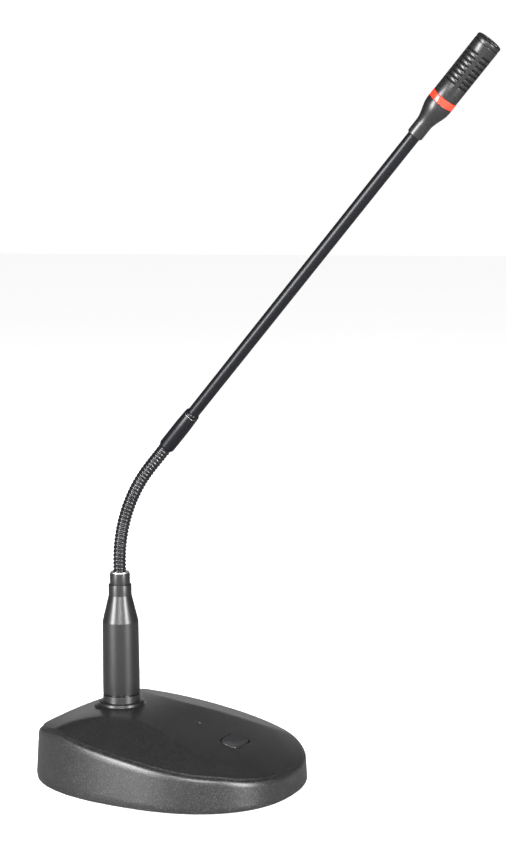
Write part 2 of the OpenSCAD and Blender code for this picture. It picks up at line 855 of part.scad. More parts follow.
module head_body() {
    color([0.22, 0.22, 0.23])
    on_arm(body_s)
    difference() {
        union() {
            cylinder(d = body_d, h = body_l);
            translate([0, 0, -ring_l - spigot_l]) cylinder(d = spigot_d, h = ring_l + spigot_l);
        }
        translate([0, 0, 2]) cylinder(d = body_bore, h = body_l);
        translate([0, 0, -ring_l - spigot_l - 1]) cylinder(d = spigot_d - 2 * spigot_wall, h = 20);
        for (k = [0:slot_count - 1], turn = [0:90:270])
            translate([0, 0, slots_s - body_s + k * slot_pitch]) slot_wedge(3, turn);
    }
}

module wind_screen() {
    color([0.08, 0.08, 0.08])
    on_arm(body_s + 4) tube(body_bore - 0.1, body_bore - 0.1 - 2 * screen_wall, body_l - 6);
}

module capsule_mount() {
    color([0.1, 0.1, 0.1])
    on_arm(capsule_s - 1.5)
    difference() {
        cylinder(d = body_bore - 0.2 - 2 * screen_wall, h = 4.5);
        translate([0, 0, 1.5]) cylinder(d = capsule_d, h = 10);
        translate([0, 0, -1]) cylinder(d = 5, h = 10);
    }
}

module capsule() {
    color("silver")
    on_arm(capsule_s)
    difference() {
        cylinder(d = capsule_d, h = capsule_h);
        for (turn = [0:60:300]) rotate(turn)
            translate([2.2, 0, capsule_h - 0.5]) cylinder(d = 1.2, h = 2);
    }
}

module end_cap() {
    rim = body_d / 2;
    rounding = 0.7;
    window_r = rim - 1.7;
    bar_pitch = 1.6;
    gap_w = 0.8;
    color([0.22, 0.22, 0.23])
    on_arm(cap_s)
    difference() {
        union() {
            rotate_extrude()
                polygon(concat([[0, 0], [rim - 0.2, 0], [rim - 0.2, 0.4], [rim, 0.6]],
                    [for (t = [0:15:90])
                        [rim - rounding * (1 - cos(t)), cap_l - 0.2 - rounding * (1 - sin(t))]],
                    [[window_r - 2, cap_l], [0, cap_l]]));
            translate([0, 0, -1.8]) cylinder(d = body_bore, h = 2);
        }
        translate([0, 0, -3]) cylinder(d = body_bore - 2, h = cap_l + 2);
        for (k = [-3:3])
            let (half = sqrt(pow(window_r, 2) - pow(k * bar_pitch, 2)))
                translate([k * bar_pitch - gap_w / 2, -half, 0]) cube([gap_w, 2 * half, cap_l + 2]);
    }
}

base_shell();
bottom_plate();
ballast();
rubber_pad();
case_screws();
circuit_board();
board_screws();
button_switch();
button_plunger();
talk_button();
status_lens();
status_led();
socket_collar();
socket_insert();
socket_contacts();
socket_nut();
output_jack();
jack_nut();
plug_barrel();
plug_insert();
plug_pins();
plug_sleeve();
sleeve_bush();
neck_ferrule();
neck_root();
neck_link_1();
neck_link_2();
neck_link_3();
neck_link_4();
neck_link_5();
neck_link_6();
neck_link_7();
neck_tip();
tube_coupling();
arm_tube();
signal_lead();
head_flare();
ring_board();
ring_leds();
light_ring();
head_body();
wind_screen();
capsule_mount();
capsule();
end_cap();
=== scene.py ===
"""Desk gooseneck microphone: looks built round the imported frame."""
import math

import bmesh
import bpy
from mathutils import Matrix, Vector


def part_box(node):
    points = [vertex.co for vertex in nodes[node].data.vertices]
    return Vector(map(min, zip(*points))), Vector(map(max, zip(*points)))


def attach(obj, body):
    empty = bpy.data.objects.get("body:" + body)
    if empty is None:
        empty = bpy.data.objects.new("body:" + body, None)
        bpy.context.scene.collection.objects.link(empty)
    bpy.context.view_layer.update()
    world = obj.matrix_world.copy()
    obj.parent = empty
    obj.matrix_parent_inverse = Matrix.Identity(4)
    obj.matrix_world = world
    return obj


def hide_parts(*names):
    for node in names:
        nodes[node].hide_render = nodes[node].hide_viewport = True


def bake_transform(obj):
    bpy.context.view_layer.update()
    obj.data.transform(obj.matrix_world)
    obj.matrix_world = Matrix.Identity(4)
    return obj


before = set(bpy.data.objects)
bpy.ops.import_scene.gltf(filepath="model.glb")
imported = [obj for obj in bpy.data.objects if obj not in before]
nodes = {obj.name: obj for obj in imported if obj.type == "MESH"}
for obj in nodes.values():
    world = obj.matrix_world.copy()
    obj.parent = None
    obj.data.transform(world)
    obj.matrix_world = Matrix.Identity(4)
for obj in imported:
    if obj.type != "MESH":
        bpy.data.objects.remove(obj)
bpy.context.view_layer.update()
scene = bpy.context.scene
MM = 0.001


# ---- Camera ----

CAMERA_PLACE = (-0.84486, -0.48184, 0.31407)
CAMERA_AZIMUTH = math.radians(-63.083)
CAMERA_RISE = math.radians(6.806)
CAMERA_ROLL = math.radians(-0.329)
CAMERA_LENS = 74.72
FILM_HEIGHT = 36


def add_camera():
    level = math.cos(CAMERA_RISE)
    back = Vector((math.sin(CAMERA_AZIMUTH) * level, -math.cos(CAMERA_AZIMUTH) * level,
                   math.sin(CAMERA_RISE)))
    right = Vector((math.cos(CAMERA_AZIMUTH), math.sin(CAMERA_AZIMUTH), 0))
    up = back.cross(right)
    turned_right = right * math.cos(CAMERA_ROLL) + up * math.sin(CAMERA_ROLL)
    turned_up = up * math.cos(CAMERA_ROLL) - right * math.sin(CAMERA_ROLL)
    turn = Matrix((turned_right, turned_up, back)).transposed().to_4x4()
    data = bpy.data.cameras.new("camera")
    data.sensor_fit = "VERTICAL"
    data.sensor_height = FILM_HEIGHT
    data.lens = CAMERA_LENS
    data.clip_start = 0.02
    camera = bpy.data.objects.new("camera", data)
    camera.matrix_world = Matrix.Translation(CAMERA_PLACE) @ turn
    scene.collection.objects.link(camera)
    scene.camera = camera


add_camera()
scene.view_settings.view_transform = "Standard"


# ---- Sizes, all in millimetres, read from the frame where a node gives them ----

def node_box(node):
    lo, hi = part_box(node)
    return Vector(lo) / MM, Vector(hi) / MM


collar_lo, collar_hi = node_box("socket_collar")
sleeve_lo, sleeve_hi = node_box("plug_sleeve")
bush_lo, bush_hi = node_box("sleeve_bush")
ferrule_lo, ferrule_hi = node_box("neck_ferrule")
button_lo, button_hi = node_box("talk_button")
lens_lo, lens_hi = node_box("status_lens")
nut_lo, nut_hi = node_box("jack_nut")

BUTTON_SIZE = button_hi - button_lo
BUTTON_MID = (button_hi + button_lo) / 2
LENS_MID = (lens_hi + lens_lo) / 2
JACK_Z = (nut_lo.z + nut_hi.z) / 2
JACK_FACE = nut_lo.y
SOCKET_Y = (collar_lo.y + collar_hi.y) / 2

# The neck leaves the ferrule straight, bends by the lean, and carries the straight arm. COUPLING_S and
# HEAD_S are distances up the arm from the end of the bend.
LEAN = math.radians(41.3)
BEND_R = 84.5
LEAD = 5.2
COUPLING_S = 15
COUPLING_L = 26.5
HEAD_S = 236.3
NECK_BASE = ferrule_hi.z
BEND_BASE = NECK_BASE + LEAD
BEND_END = Vector((0, SOCKET_Y - BEND_R * (1 - math.cos(LEAN)), BEND_BASE + BEND_R * math.sin(LEAN)))
ARM = Matrix.Translation(BEND_END) @ Matrix.Rotation(LEAN, 4, "X")
HEAD = ARM @ Matrix.Translation((0, 0, HEAD_S))
PLUG = Matrix.Translation((0, SOCKET_Y, 0))

# The base's outline: a superellipse with its own length and power at each end of its widest line
HALF_W = 60.5
FRONT_L = 73.3
FRONT_POWER = 2.32
REAR_L = 81.3
REAR_POWER = 2.4
WIDEST_Y = -4
DRAFT = math.tan(math.radians(3.7))
EDGE_R = 2.4
LOWER_EDGE = 1.0

# The crown: its height on the widest line, its slope, its fall to the rear, and its fall at the rim
CROWN_H = 35
CROWN_SLOPE = 0.24
CROWN_REAR_FALL = 0.004
CROWN_RIM_FALL = 3.6
CROWN_RIM_POWER = 4.3

# The side flats: their height at FLAT_X on the widest line, their slope and hollow along the base, and
# their rise inwards
FLAT_H = 27
FLAT_SLOPE = 0.148
FLAT_HOLLOW = 0.0011
FLAT_RISE = 0.26
FLAT_X = 57
CREASE_SOFTNESS = 0.9


def outline_radius(angle):
    """Radius of the base's outline, with the angle measured from the talker's end."""
    across = abs(math.sin(angle))
    along = -math.cos(angle)
    length, power = (FRONT_L, FRONT_POWER) if along < 0 else (REAR_L, REAR_POWER)
    return ((across / HALF_W) ** power + (abs(along) / length) ** power) ** (-1 / power)


def top_height(x, v):
    """Height of the top, v behind its widest line, where crown and flats meet in a soft crease."""
    radius = math.hypot(x, v)
    share = radius / outline_radius(math.atan2(x, -v)) if radius > 0.01 else 0
    rim_fall = CROWN_RIM_FALL * share ** CROWN_RIM_POWER
    crown = CROWN_H + CROWN_SLOPE * v - CROWN_REAR_FALL * max(v, 0) ** 2 - rim_fall
    flat = FLAT_H + FLAT_SLOPE * v - FLAT_HOLLOW * v * v + FLAT_RISE * (FLAT_X - abs(x))
    overlap = max(CREASE_SOFTNESS - abs(crown - flat), 0) / CREASE_SOFTNESS
    return min(crown, flat) - overlap ** 3 * CREASE_SOFTNESS / 6


def top_at(x, y):
    return top_height(x, y - WIDEST_Y)


# ---- Mesh helpers ----

def finish_mesh(name, bm, place=None, sharp=32):
    """Puts a bmesh, in millimetres, into a piece whose object sits at the origin."""
    if place is not None:
        bmesh.ops.transform(bm, matrix=place, verts=bm.verts)
    bmesh.ops.scale(bm, vec=(MM, MM, MM), verts=bm.verts)
    mesh = bpy.data.meshes.new(name)
    bm.to_mesh(mesh)
    bm.free()
    mesh.shade_smooth()
    mesh.set_sharp_from_angle(angle=math.radians(sharp))
    piece = bpy.data.objects.new(name, mesh)
    scene.collection.objects.link(piece)
    return piece


def rounded(corners, steps=4):
    """Points of a profile given as (radius, height, rounding), with each rounding drawn as an arc."""
    points = []
    for i, (r, z, rounding) in enumerate(corners):
        here = Vector((r, z))
        if not rounding or i in (0, len(corners) - 1):
            points.append(here)
            continue
        before = (Vector(corners[i - 1][:2]) - here).normalized()
        after = (Vector(corners[i + 1][:2]) - here).normalized()
        half = before.angle(after) / 2
        reach = rounding / math.tan(half)
        centre = here + (before + after).normalized() * (rounding / math.sin(half))
        first = here + before * reach - centre
        last = here + after * reach - centre
        for k in range(steps + 1):
            share = k / steps
            points.append(centre + first.lerp(last, share).normalized() * rounding)
    return points


def spun(points, segments=96):
    """A bmesh made by turning a profile of (radius, height) points about the Z axis."""
    bm = bmesh.new()
    line = [bm.verts.new((p[0], 0, p[1])) for p in points]
    edges = [bm.edges.new(pair) for pair in zip(line, line[1:])]
    bmesh.ops.spin(bm, geom=line + edges, cent=(0, 0, 0), axis=(0, 0, 1), angle=math.tau,
                   steps=segments, use_merge=True)
    bmesh.ops.remove_doubles(bm, verts=bm.verts, dist=0.0005)
    bmesh.ops.recalc_face_normals(bm, faces=bm.faces)
    return bm


def lathe(name, corners, place, segments=96):
    return finish_mesh(name, spun(rounded(corners), segments), place)


def cut(piece, cutter):
    """Takes the cutter's space out of the piece for good, and drops the cutter."""
    modifier = piece.modifiers.new("cut", "BOOLEAN")
    modifier.operation = "DIFFERENCE"
    modifier.solver = "EXACT"
    modifier.object = cutter
    graph = bpy.context.evaluated_depsgraph_get()
    mesh = bpy.data.meshes.new_from_object(piece.evaluated_get(graph))
    piece.modifiers.clear()
    old = piece.data
    piece.data = mesh
    mesh.name = piece.name
    bpy.data.meshes.remove(old)
    bpy.data.objects.remove(cutter)


def settle(piece, body, material, stands_for=()):
    """Gives a finished piece its body and its finish, and hides the nodes that it stands for."""
    piece.data.materials.clear()
    piece.data.materials.append(material)
    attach(piece, body)
    if stands_for:
        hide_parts(*stands_for)


# ---- Shader helpers ----

def feed(tree, socket, value):
    """Links another node's output to a socket, or sets the socket to a plain value."""
    if isinstance(value, bpy.types.NodeSocket):
        tree.links.new(value, socket)
    else:
        socket.default_value = value


def math_node(tree, kind, a, b):
    node = tree.nodes.new("ShaderNodeMath")
    node.operation = kind
    feed(tree, node.inputs[0], a)
    feed(tree, node.inputs[1], b)
    return node.outputs[0]


def mix_numbers(tree, share, a, b):
    """A Mix node's number output; sockets 2 and 3 are its numbers A and B."""
    node = tree.nodes.new("ShaderNodeMix")
    for index, value in ((0, share), (2, a), (3, b)):
        feed(tree, node.inputs[index], value)
    return node.outputs[0]


def mix_colours(tree, share, a, b):
    """A Mix node's colour output; sockets 6 and 7 are its colours A and B."""
    node = tree.nodes.new("ShaderNodeMix")
    node.data_type = "RGBA"
    for index, value in ((0, share), (6, a), (7, b)):
        feed(tree, node.inputs[index], value)
    return node.outputs[2]


def noise(tree, where, scale, detail):
    node = tree.nodes.new("ShaderNodeTexNoise")
    node.inputs["Detail"].default_value = detail
    tree.links.new(where, node.inputs["Vector"])
    tree.links.new(scale, node.inputs["Scale"])
    return node.outputs["Fac"]


def new_group(name, inputs, outputs):
    tree = bpy.data.node_groups.new(name, "ShaderNodeTree")
    for label, value in inputs:
        socket = tree.interface.new_socket(name=label, in_out="INPUT", socket_type="NodeSocketFloat")
        socket.default_value = value
    for label in outputs:
        tree.interface.new_socket(name=label, in_out="OUTPUT", socket_type="NodeSocketFloat")
    return tree, tree.nodes.new("NodeGroupInput"), tree.nodes.new("NodeGroupOutput")


FLAKE_SIZE = 0.75
FLAKE_CONTRAST = 12


def grain_group():
    """Paint grain: a fine height, bright metallic specks, and a slow cloudiness of tone."""
    tree, given, result = new_group(
        "paint_grain", [("Grain per metre", 2500), ("Speck cut", 0.7), ("Cloud per metre", 30)],
        ["Height", "Specks", "Cloud"])
    where = tree.nodes.new("ShaderNodeTexCoord").outputs["Object"]
    fine = given.outputs["Grain per metre"]
    flake = noise(tree, where, math_node(tree, "MULTIPLY", fine, FLAKE_SIZE), 0)
    above = math_node(tree, "SUBTRACT", flake, given.outputs["Speck cut"])
    specks = math_node(tree, "MULTIPLY", above, FLAKE_CONTRAST)
    specks.node.use_clamp = True
    tree.links.new(noise(tree, where, fine, 2), result.inputs["Height"])
    tree.links.new(specks, result.inputs["Specks"])
    tree.links.new(noise(tree, where, given.outputs["Cloud per metre"], 3), result.inputs["Cloud"])
    return tree


paint_grain = grain_group()


def finish(name, dark, light, rough, grain=2500, specks=0.0, bump=0.0, bump_depth=0.00002,
           metallic=0.0, cloud=30, coat=0.0, specular=0.5, emission=None, strength=0.0):
    """A Principled finish whose tone, roughness and surface vary with the paint grain group."""
    material = bpy.data.materials.new(name)
    material.use_nodes = True
    tree = material.node_tree
    shader = tree.nodes["Principled BSDF"]
    group = tree.nodes.new("ShaderNodeGroup")
    group.node_tree = paint_grain
    group.inputs["Grain per metre"].default_value = grain
    group.inputs["Speck cut"].default_value = SPECK_CUT
    group.inputs["Cloud per metre"].default_value = cloud
    colour = mix_colours(tree, group.outputs["Cloud"], (*dark, 1), (*light, 1))
    if specks:
        amount = math_node(tree, "MULTIPLY", group.outputs["Specks"], specks)
        colour = mix_colours(tree, amount, colour, SPECK_TONE)
    tree.links.new(colour, shader.inputs["Base Color"])
    spread = tree.nodes.new("ShaderNodeMapRange")
    spread.inputs["To Min"].default_value = rough[0]
    spread.inputs["To Max"].default_value = rough[1]
    tree.links.new(group.outputs["Cloud"], spread.inputs["Value"])
    tree.links.new(spread.outputs["Result"], shader.inputs["Roughness"])
    if bump:
        relief = tree.nodes.new("ShaderNodeBump")
        relief.inputs["Strength"].default_value = bump
        relief.inputs["Distance"].default_value = bump_depth
        tree.links.new(group.outputs["Height"], relief.inputs["Height"])
        tree.links.new(relief.outputs["Normal"], shader.inputs["Normal"])
    shader.inputs["Metallic"].default_value = metallic
    shader.inputs["Coat Weight"].default_value = coat
    shader.inputs["Specular IOR Level"].default_value = specular
    if emission:
        shader.inputs["Emission Color"].default_value = (*emission, 1)
        shader.inputs["Emission Strength"].default_value = strength
    return material


# ---- Finishes: darkest and lightest tone, least and greatest roughness, and the grain ----

SPECK_CUT = 0.62
SPECK_TONE = (0.3, 0.3, 0.3, 1)

shell_paint = finish("shell_paint", (0.005, 0.005, 0.0053), (0.007, 0.007, 0.0073), (0.34, 0.39),
                     grain=3000, specks=0.12, bump=0.8, bump_depth=0.00005)
sleeve_paint = finish("sleeve_paint", (0.004, 0.004, 0.0042), (0.006, 0.006, 0.0062), (0.32, 0.36),
                      grain=5200, specks=0.03, bump=0.12, cloud=60)
head_paint = finish("head_paint", (0.005, 0.005, 0.0052), (0.007, 0.007, 0.0072), (0.31, 0.35),
                    grain=5200, specks=0.02, bump=0.06, cloud=60)
tube_black = finish("tube_black", (0.0025, 0.0026, 0.0036), (0.004, 0.0042, 0.0055), (0.3, 0.35),
                    grain=6000, bump=0.05, cloud=40, specular=0.22)
neck_dark = finish("neck_dark", (0.03, 0.03, 0.032), (0.05, 0.05, 0.052), (0.2, 0.26),
                   grain=6000, bump=0.15, metallic=0.85, cloud=150)
button_black = finish("button_black", (0.012, 0.012, 0.013), (0.016, 0.016, 0.017), (0.3, 0.36),
                      grain=3000, bump=0.2, cloud=60)
slot_black = finish("slot_black", (0.002, 0.002, 0.002), (0.004, 0.004, 0.004), (0.85, 0.95),
                    grain=4000, bump=0.8, bump_depth=0.0001)
ring_red = finish("ring_red", (0.6, 0.015, 0.006), (0.72, 0.025, 0.01), (0.24, 0.28),
                  grain=3000, bump=0.1, cloud=80, emission=(1.0, 0.03, 0.012), strength=0.75)
lens_smoke = finish("lens_smoke", (0.02, 0.012, 0.012), (0.03, 0.016, 0.016), (0.12, 0.18),
                    grain=2000, coat=0.5)
bright_nickel = finish("bright_nickel", (0.62, 0.61, 0.59), (0.72, 0.71, 0.7), (0.3, 0.4),
                       grain=4000, bump=0.1, metallic=1, cloud=120)
zinc_steel = finish("zinc_steel", (0.4, 0.4, 0.4), (0.52, 0.52, 0.51), (0.32, 0.42),
                    grain=1800, bump=0.2, metallic=1, cloud=60)
pad_rubber = finish("pad_rubber", (0.012, 0.012, 0.012), (0.02, 0.02, 0.02), (0.75, 0.85),
                    grain=1500, bump=0.6, bump_depth=0.0001)
black_plastic = finish("black_plastic", (0.014, 0.014, 0.014), (0.02, 0.02, 0.02), (0.4, 0.5), bump=0.2)
pale_plastic = finish("pale_plastic", (0.6, 0.6, 0.57), (0.7, 0.7, 0.67), (0.4, 0.5), bump=0.2)
gold_plate = finish("gold_plate", (0.78, 0.54, 0.2), (0.86, 0.63, 0.27), (0.2, 0.28),
                    grain=3000, bump=0.1, metallic=1, cloud=200)
solder_mask = finish("solder_mask", (0.01, 0.09, 0.03), (0.015, 0.13, 0.045), (0.3, 0.4),
                     grain=900, bump=0.3)
cast_slab = finish("cast_slab", (0.1, 0.1, 0.1), (0.16, 0.16, 0.155), (0.6, 0.75),
                   grain=900, bump=0.9, bump_depth=0.0002, metallic=0.6)
red_epoxy = finish("red_epoxy", (0.4, 0.015, 0.01), (0.55, 0.03, 0.02), (0.15, 0.22),
                   grain=2000, coat=0.3)

NODE_FINISH = {
    "bottom_plate": zinc_steel, "ballast": cast_slab, "rubber_pad": pad_rubber, "case_screws": zinc_steel,
    "circuit_board": solder_mask, "board_screws": zinc_steel, "button_switch": black_plastic,
    "button_plunger": pale_plastic, "status_led": red_epoxy, "socket_insert": black_plastic,
    "socket_contacts": gold_plate, "socket_nut": bright_nickel, "output_jack": black_plastic,
    "jack_nut": bright_nickel, "plug_barrel": bright_nickel, "plug_insert": black_plastic,
    "plug_pins": gold_plate, "signal_lead": black_plastic, "ring_board": solder_mask,
    "ring_leds": red_epoxy, "wind_screen": slot_black, "capsule_mount": pad_rubber,
    "capsule": zinc_steel,
}
for node_name, material in NODE_FINISH.items():
    for place in nodes[node_name].material_slots:
        place.material = material


# ---- Base shell ----

WALL_STEPS = 10
EDGE_STEPS = 6
TOP_STEPS = 60
SKIN_SEGMENTS = 224
SHELL_WALL = 2.2
ROUGH_RIM = 27
FOOT_TUCK = 0.5
BUTTON_GAP = 0.4
BUTTON_CORNER = 4
OPENING_LIP = 0.55
LENS_HOLE_R = 1.15
SOCKET_HOLE_R = 10.1
JACK_FACE_R = 8
JACK_SEAT_R = 9
JACK_HOLE_R = 4.6
TO_REAR = Matrix.Rotation(math.pi / 2, 4, "X")


def skin_spot(k, angle):
    """Radius and height of ring k of the skin, counted up the wall, over the edge and in across the top."""
    outline = outline_radius(angle)
    rim_radius = outline - ROUGH_RIM * DRAFT
    rim = top_height(rim_radius * math.sin(angle), -rim_radius * math.cos(angle))
    edge_base = rim - EDGE_R
    rim_radius = outline - rim * DRAFT
    if k <= WALL_STEPS:
        z = LOWER_EDGE + (edge_base - LOWER_EDGE) * k / WALL_STEPS
        radius = outline - z * DRAFT - (FOOT_TUCK if k == 0 else 0)
    elif k < WALL_STEPS + EDGE_STEPS:
        turn = (k - WALL_STEPS) / EDGE_STEPS * math.pi / 2
        radius = rim_radius - EDGE_R * (1 - math.cos(turn))
        z = edge_base + EDGE_R * math.sin(turn)
    else:
        radius = (rim_radius - EDGE_R) * (1 - (k - WALL_STEPS - EDGE_STEPS) / TOP_STEPS)
        z = top_height(radius * math.sin(angle), -radius * math.cos(angle))
    return radius, z


def shell_skin():
    """The outer skin: a profile spun into rings, and each ring laid on the base's own outline and top."""
    rings = WALL_STEPS + EDGE_STEPS + TOP_STEPS
    bm = spun([(rings - k, k) for k in range(rings + 1)], SKIN_SEGMENTS)
    for vert in bm.verts:
        angle = math.atan2(vert.co.x, -vert.co.y)
        radius, z = skin_spot(round(vert.co.z), angle)
        vert.co = (radius * math.sin(angle), WIDEST_Y - radius * math.cos(angle), z)
    bmesh.ops.recalc_face_normals(bm, faces=bm.faces)
    return bm


def past(value, limit):
    """How far a value lies past a limit, on its own side of zero."""
    return max(abs(value) - limit, 0) * (1 if value > 0 else -1)


def lip_cutter(name, width, length, corner, x, y, lip):
    """A cutter for an opening in the sloping top, flared at the surface to leave a round lip."""
    bm = bmesh.new()
    bmesh.ops.create_cube(bm, size=1)
    bmesh.ops.scale(bm, vec=(width, length, 2), verts=bm.verts)
    upright = [e for e in bm.edges if abs(e.verts[0].co.z - e.verts[1].co.z) > 1]
    bmesh.ops.bevel(bm, geom=upright, offset=corner, segments=10, profile=0.5, affect="EDGES", material=-1)
    # Each level is its height above the top and how far it flares outwards
    levels = [(-12, 0), (-lip, 0), (-lip * 0.6, lip * 0.08), (-lip * 0.3, lip * 0.3),
              (-lip * 0.08, lip * 0.6), (0, lip), (2, lip)]
    last = len(levels) - 1
    for vert in bm.verts:
        vert.co.z = 0 if vert.co.z < 0 else 1
    for k in range(1, last):
        bmesh.ops.bisect_plane(bm, geom=bm.verts[:] + bm.edges[:] + bm.faces[:], dist=0.0001,
                               plane_co=(0, 0, k / last), plane_no=(0, 0, 1))
    for vert in bm.verts:
        height, flare = levels[round(vert.co.z * last)]
        flat = Vector((vert.co.x, vert.co.y))
        core = Vector((past(flat.x, width / 2 - corner), past(flat.y, length / 2 - corner)))
        out = core.normalized() if core.length > 0.001 else Vector((0, 0))
        flat += out * flare
        vert.co = (flat.x + x, flat.y + y, top_at(flat.x + x, flat.y + y) + height)
    bmesh.ops.recalc_face_normals(bm, faces=bm.faces)
    return finish_mesh(name, bm)


def straight_cutter(name, radius, depth, place):
    bm = bmesh.new()
    bmesh.ops.create_cone(bm, cap_ends=True, segments=64, radius1=radius, radius2=radius, depth=depth)
    return finish_mesh(name, bm, place)


def make_shell():
    bm = shell_skin()
    bmesh.ops.solidify(bm, geom=bm.faces[:], thickness=SHELL_WALL)
    bmesh.ops.recalc_face_normals(bm, faces=bm.faces)
    shell = finish_mesh("shell_cover", bm)
    cut(shell, lip_cutter("button_cutter", BUTTON_SIZE.x + 2 * BUTTON_GAP, BUTTON_SIZE.y + 2 * BUTTON_GAP,
                          BUTTON_CORNER + BUTTON_GAP, BUTTON_MID.x, BUTTON_MID.y, OPENING_LIP))
    at_lens = Matrix.Translation((LENS_MID.x, LENS_MID.y, lens_hi.z))
    cut(shell, straight_cutter("lens_cutter", LENS_HOLE_R, 12, at_lens))
    at_socket = Matrix.Translation((0, SOCKET_Y, collar_lo.z + 12))
    cut(shell, straight_cutter("socket_cutter", SOCKET_HOLE_R, 24, at_socket))
    behind_jack = Matrix.Translation((0, JACK_FACE + 5, JACK_Z)) @ TO_REAR
    cut(shell, straight_cutter("jack_face_cutter", JACK_FACE_R, 10, behind_jack))
    at_jack = Matrix.Translation((0, JACK_FACE, JACK_Z)) @ TO_REAR
    cut(shell, straight_cutter("jack_cutter", JACK_HOLE_R, 30, at_jack))
    shell.data.shade_smooth()
    shell.data.set_sharp_from_angle(angle=math.radians(28))
    settle(shell, "base", shell_paint, ("base_shell",))


def make_jack_seat():
    corners = [(JACK_HOLE_R, 0, 0), (JACK_SEAT_R, 0, 0.3), (JACK_SEAT_R, 3.2, 0), (JACK_HOLE_R, 3.2, 0),
               (JACK_HOLE_R, 0, 0)]
    seat = lathe("jack_seat", corners, Matrix.Translation((0, JACK_FACE - 0.05, JACK_Z)) @ TO_REAR)
    settle(seat, "base", shell_paint)


make_shell()
make_jack_seat()


# ---- Socket collar ----

COLLAR_R = 10.5
FLANGE_R = 12.75
FLANGE_T = 2.4
SOCKET_BORE_R = 8.38
SOCKET_DEPTH = 13


def make_collar():
    """The ring that the plug goes into, whose flange is set on the top with a soft fillet."""
    base = top_at(0, SOCKET_Y)
    flange_top = base + FLANGE_T
    top = collar_hi.z
    corners = [(15.6, base - 0.8, 0), (14.6, base - 0.2, 1.5), (FLANGE_R, base + 0.5, 1.2),
               (FLANGE_R, flange_top, 0.9), (COLLAR_R + 0.05, flange_top, 0.25), (COLLAR_R, top, 0.3),
               (SOCKET_BORE_R, top, 0.2), (SOCKET_BORE_R, top - SOCKET_DEPTH, 0)]
    collar = lathe("socket_collar_ring", corners, PLUG)
    settle(collar, "base", sleeve_paint, ("socket_collar",))


make_collar()


# ---- Talk button ----

BUTTON_LIP = 0.5
BUTTON_PROUD = 0.3
BUTTON_DISH = 0.55
LIP_STEPS = 5
DISH_STEPS = 10


def make_button():
    """A cap with a soft lip and a shallow dish, whose top follows the slope of the base's top."""
    # Each level is how far it lies in from the side, its height below the lip's top, and its share of the
    # way to the middle. The first is the cap's flat foot, whose height comes from the frame.
    levels = [(0, 0, 0), (0, -0.9, 0), (0, -BUTTON_LIP, 0)]
    for k in range(1, LIP_STEPS + 1):
        turn = k / LIP_STEPS * math.pi / 2
        levels.append((BUTTON_LIP * (1 - math.cos(turn)), -BUTTON_LIP * (1 - math.sin(turn)), 0))
    for k in range(1, DISH_STEPS + 1):
        levels.append((BUTTON_LIP, 0, k / DISH_STEPS))
    last = len(levels) - 1
    bm = spun([(len(levels) - k, k) for k in range(last)] + [(0, last)])
    half = Vector((BUTTON_SIZE.x / 2 - BUTTON_CORNER, BUTTON_SIZE.y / 2 - BUTTON_CORNER))
    for vert in bm.verts:
        level = round(vert.co.z)
        inset, height, share = levels[level]
        angle = math.atan2(vert.co.y, vert.co.x) if level < last else 0
        along = Vector((math.cos(angle), math.sin(angle)))
        core = Vector((half.x * max(-1, min(1, along.x * 1.6)), half.y * max(-1, min(1, along.y * 1.6))))
        spot = (core + along * (BUTTON_CORNER - inset)) * (1 - share)
        dish = BUTTON_DISH * (1 - (1 - share) ** 2)
        z = top_at(BUTTON_MID.x, BUTTON_MID.y + spot.y) + BUTTON_PROUD + height - dish
        vert.co = (BUTTON_MID.x + spot.x, BUTTON_MID.y + spot.y, z if level else button_lo.z)
    bmesh.ops.recalc_face_normals(bm, faces=bm.faces)
    cap = finish_mesh("button_cap", bm)
    settle(cap, "button", button_black, ("talk_button",))


make_button()


# ---- Status lens ----

LENS_R = 1.1


def make_lens():
    top = top_at(LENS_MID.x, LENS_MID.y)
    corners = [(0, top - 4, 0), (LENS_R, top - 4, 0), (LENS_R, top - 0.05, 0.3), (0.5, top + 0.1, 0),
               (0, top + 0.12, 0)]
    lens = lathe("lens_window", corners, Matrix.Translation((LENS_MID.x, LENS_MID.y, 0)), 32)
    settle(lens, "base", lens_smoke, ("status_lens",))


make_lens()


# ---- Plug sleeve, bush and ferrule ----

SLEEVE_R = 10.5
SLEEVE_BORE_R = 8.35
STRAIGHT_L = 41.6
CONE_L = 15
CONE_TOP_R = 6.5
BUSH_R = 5.7
NECK_BORE_R = 3.75


def make_sleeve():
    foot = sleeve_lo.z
    shoulder = foot + STRAIGHT_L
    top = sleeve_hi.z
    corners = [(SLEEVE_BORE_R, foot + 12, 0), (SLEEVE_BORE_R, foot, 0), (SLEEVE_R, foot, 0.4),
               (SLEEVE_R, foot + 7, 6), (SLEEVE_R - 0.3, shoulder, 0.35),
               (CONE_TOP_R + 0.05, shoulder + CONE_L, 0.5), (CONE_TOP_R, top, 0.35), (5.3, top, 0)]
    sleeve = lathe("sleeve_body", corners, PLUG, 128)
    settle(sleeve, "plug", sleeve_paint, ("plug_sleeve",))


def make_bush():
    corners = [(4.6, bush_lo.z, 0), (BUSH_R, sleeve_hi.z - 1, 0), (BUSH_R, bush_hi.z, 0.3),
               (NECK_BORE_R, bush_hi.z, 0)]
    bush = lathe("bush_ring", corners, PLUG)
    settle(bush, "plug", sleeve_paint, ("sleeve_bush",))


def make_ferrule():
    corners = [(NECK_BORE_R, ferrule_lo.z, 0), (5.35, ferrule_lo.z, 0.15), (5.25, ferrule_hi.z, 0.4),
               (NECK_BORE_R, ferrule_hi.z, 0.1), (NECK_BORE_R, ferrule_lo.z, 0)]
    ferrule = lathe("ferrule_ring", corners, PLUG)
    settle(ferrule, "plug", bright_nickel, ("neck_ferrule",))


make_sleeve()
make_bush()
make_ferrule()


# ---- Flexible neck: a wound tube, split into one piece for each joint ----

